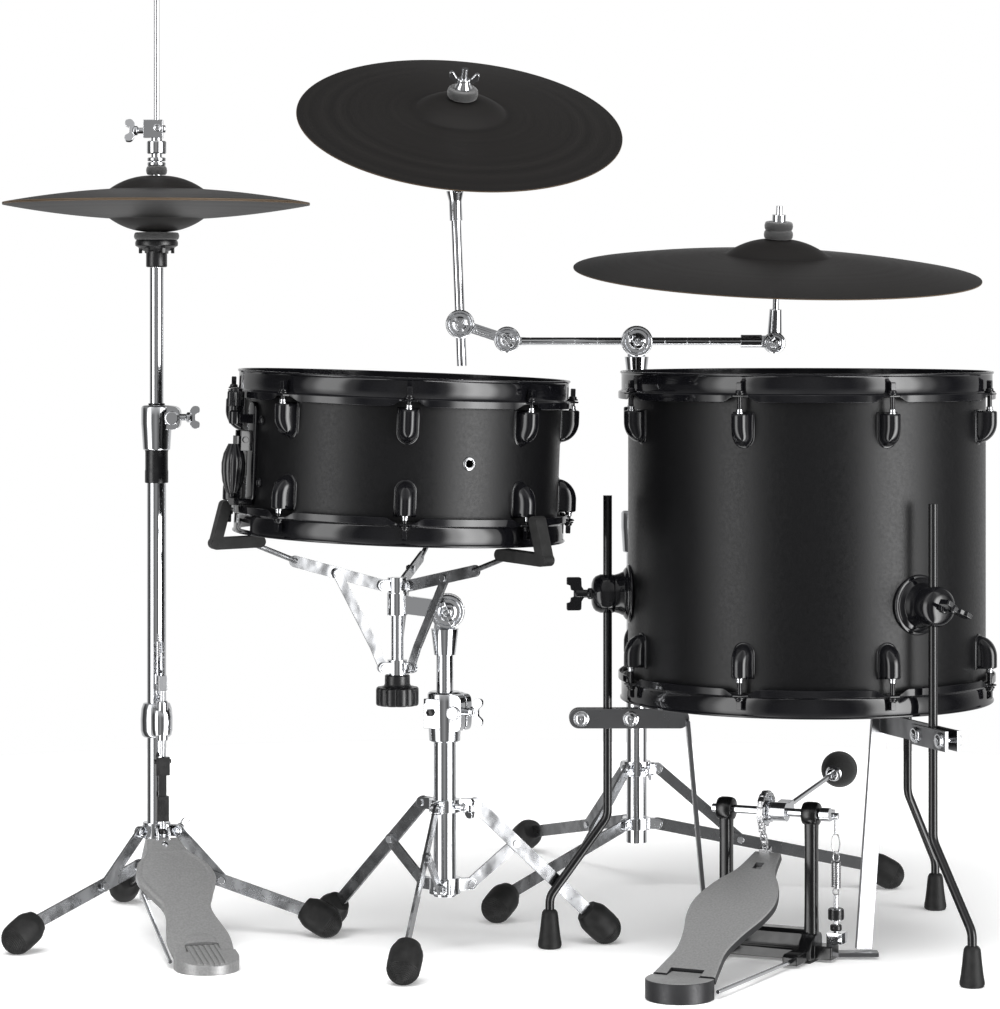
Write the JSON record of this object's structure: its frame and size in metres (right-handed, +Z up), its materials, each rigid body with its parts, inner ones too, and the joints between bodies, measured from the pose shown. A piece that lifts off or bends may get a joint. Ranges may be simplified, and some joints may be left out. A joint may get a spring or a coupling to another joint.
{
  "type": "acoustic drum kit",
  "caption": "Compact acoustic drum kit: hi-hat, snare, floor tom struck from below by a bass pedal, and crash and ride cymbals on one boom stand.",
  "frame": {"origin": "centre of the kit's footprint on the floor", "axes": "+X towards the floor tom, away from the hi-hat; +Y away from the pedals' heels; +Z up"},
  "size_m": [1.1761, 1.0537, 1.081],
  "materials": {
    "chrome": "polished chrome plate",
    "black_chrome": "gloss black nickel plate",
    "shell": "satin black lacquer with a fine texture",
    "cymbal": "black coated, lathed",
    "rubber": "matt black rubber",
    "felt": "pressed wool felt",
    "footboard": "cast, brushed on top",
    "black_metal": "gloss black powder coat",
    "spring_steel": "plain",
    "head_film": "matt black film",
    "black_plastic": "moulded"
  },
  "bodies": {
    "stands": {"stand_lower_tubes": "chrome", "height_clamps": "chrome", "tripod_hubs": "chrome", "tripod_legs": "chrome", "tripod_braces": "chrome", "rubber_feet": "rubber", "rivets_and_bolts": "chrome", "pedal_heel_plates": "footboard", "pedal_rods": "chrome", "stand_wing_screws": "chrome", "kick_frame": "black_metal", "kick_bracket": "chrome", "tom_legs": "black_metal", "kick_spring": "spring_steel"},
    "tom": {"tom_shell": "shell", "tom_hoops": "black_chrome", "tom_heads": "head_film", "tom_lugs": "black_chrome", "tom_tension_rods": "black_chrome", "tom_leg_brackets": "black_chrome"},
    "hihat_column": {"hihat_upper_tube": "chrome", "hihat_seat": "black_plastic", "hihat_seat_felt": "felt", "hihat_bottom_cymbal": "cymbal"},
    "hihat_rod": {"hihat_pull_rod": "chrome"},
    "hihat_clutch": {"hihat_clutch": "chrome", "hihat_clutch_felts": "felt", "hihat_top_cymbal": "cymbal"},
    "hihat_link": {"hihat_link": "black_metal"},
    "hihat_board": {"hihat_footboard": "footboard"},
    "snare_column": {"snare_stand_upper": "chrome"},
    "snare_basket": {"snare_tilter": "chrome", "basket_hubs": "chrome", "basket_arms": "chrome", "basket_struts": "chrome", "basket_grips": "rubber", "snare_shell": "shell", "snare_hoops": "black_chrome", "snare_heads": "head_film", "snare_lugs": "black_chrome", "snare_tension_rods": "black_chrome", "snare_strainer": "black_chrome", "snare_wires": "spring_steel"},
    "basket_knob": {"basket_knob": "black_plastic"},
    "strainer_lever": {"strainer_lever": "black_chrome"},
    "cymbal_column": {"cymbal_stand_upper": "chrome"},
    "boom": {"boom_arm": "chrome"},
    "crash_link": {"crash_link": "chrome"},
    "crash_rod": {"crash_rod": "chrome"},
    "crash_tilter": {"crash_tilter": "chrome", "crash_felts": "felt"},
    "crash_cymbal": {"crash_cymbal": "cymbal"},
    "crash_wing_nut": {"crash_wing_nut": "chrome"},
    "ride_tilter": {"ride_tilter": "chrome", "ride_felts": "felt"},
    "ride_cymbal": {"ride_cymbal": "cymbal"},
    "kick_axle": {"kick_axle": "chrome", "kick_beater": "felt"},
    "kick_board": {"kick_footboard": "footboard", "kick_chain": "spring_steel"}
  },
  "joints": [
    {"name": "tom_height", "type": "slide", "parent": "stands", "child": "tom", "axis": [0, 0, 1], "range_m": [0, 0.06]},
    {"name": "hihat_height", "type": "slide", "parent": "stands", "child": "hihat_column", "axis": [0, 0, 1], "range_m": [-0.1, 0]},
    {"name": "hihat_pull", "type": "slide", "parent": "stands", "child": "hihat_rod", "axis": [0, 0, 1], "range_m": [0, 0.016]},
    {"name": "hihat_clutch_height", "type": "slide", "parent": "hihat_rod", "child": "hihat_clutch", "axis": [0, 0, 1], "range_m": [0, 0.11]},
    {"name": "hihat_link_swing", "type": "hinge", "parent": "hihat_rod", "child": "hihat_link", "pos_m": [-0.40062, -0.11688, 0.2], "axis": [0.9511, 0.309, 0], "range_deg": [-6.46, 0]},
    {"name": "hihat_board_pivot", "type": "hinge", "parent": "stands", "child": "hihat_board", "pos_m": [-0.33604, -0.31565, 0.014], "axis": [0.9511, 0.309, 0], "range_deg": [0, 4.68]},
    {"name": "snare_height", "type": "slide", "parent": "stands", "child": "snare_column", "axis": [0, 0, 1], "range_m": [-0.03, 0.1]},
    {"name": "snare_tilt", "type": "hinge", "parent": "snare_column", "child": "snare_basket", "pos_m": [-0.0702, -0.2294, 0.383], "axis": [0, 1, 0], "range_deg": [0, 6]},
    {"name": "basket_knob_turn", "type": "hinge", "parent": "snare_basket", "child": "basket_knob", "pos_m": [-0.1262, -0.2324, 0.29], "axis": [0, 0, 1], "continuous": true},
    {"name": "strainer_throw", "type": "hinge", "parent": "snare_basket", "child": "strainer_lever", "pos_m": [-0.29385, -0.31119, 0.57848], "axis": [0.4144, -0.91, -0.0156], "range_deg": [-95, 0]},
    {"name": "cymbal_height", "type": "slide", "parent": "stands", "child": "cymbal_column", "axis": [0, 0, 1], "range_m": [-0.05, 0.18]},
    {"name": "boom_tilt", "type": "hinge", "parent": "cymbal_column", "child": "boom", "pos_m": [0.1598, 0.2206, 0.682], "axis": [0, 1, 0], "range_deg": [-5, 5]},
    {"name": "crash_link_swing", "type": "hinge", "parent": "boom", "child": "crash_link", "pos_m": [-0.0022, 0.2206, 0.684], "axis": [0, 1, 0], "range_deg": [-8, 8]},
    {"name": "crash_rod_swing", "type": "hinge", "parent": "crash_link", "child": "crash_rod", "pos_m": [-0.0612, 0.2206, 0.7035], "axis": [0, 1, 0], "range_deg": [-8, 8]},
    {"name": "crash_tilt", "type": "hinge", "parent": "crash_rod", "child": "crash_tilter", "pos_m": [-0.0684, 0.2206, 0.884], "axis": [1, 0, 0], "range_deg": [-25, 10]},
    {"name": "crash_spin", "type": "hinge", "parent": "crash_tilter", "child": "crash_cymbal", "pos_m": [-0.0684, 0.2206, 0.884], "axis": [0.094, -0.44, 0.8931], "continuous": true},
    {"name": "crash_nut_turn", "type": "hinge", "parent": "crash_tilter", "child": "crash_wing_nut", "pos_m": [-0.0684, 0.2206, 0.884], "axis": [0.094, -0.44, 0.8931], "continuous": true},
    {"name": "ride_tilt", "type": "hinge", "parent": "boom", "child": "ride_tilter", "pos_m": [0.3318, 0.2206, 0.68], "axis": [0, 1, 0], "range_deg": [-10, 10]},
    {"name": "ride_spin", "type": "hinge", "parent": "ride_tilter", "child": "ride_cymbal", "pos_m": [0.3318, 0.2206, 0.68], "axis": [0.027, -0.132, 0.9909], "continuous": true},
    {"name": "kick_axle_turn", "type": "hinge", "parent": "stands", "child": "kick_axle", "pos_m": [0.2883, -0.2511, 0.162], "axis": [0.9063, -0.4226, 0], "range_deg": [0, 26], "stiffness_Nm_per_rad": 1.2, "springref_deg": -11.46, "deforming": ["kick_spring"]},
    {"name": "kick_board_pivot", "type": "hinge", "parent": "stands", "child": "kick_board", "pos_m": [0.18222, -0.47858, 0.019], "axis": [0.9063, -0.4226, 0], "range_deg": [-2.04, 0]}
  ],
  "couplings": [
    {"joint": "hihat_link_swing", "follows": "hihat_pull", "rad_per_m": -6.8327},
    {"joint": "hihat_board_pivot", "follows": "hihat_pull", "rad_per_m": 4.8855},
    {"joint": "kick_board_pivot", "follows": "kick_axle_turn", "ratio": -0.07447}
  ]
}
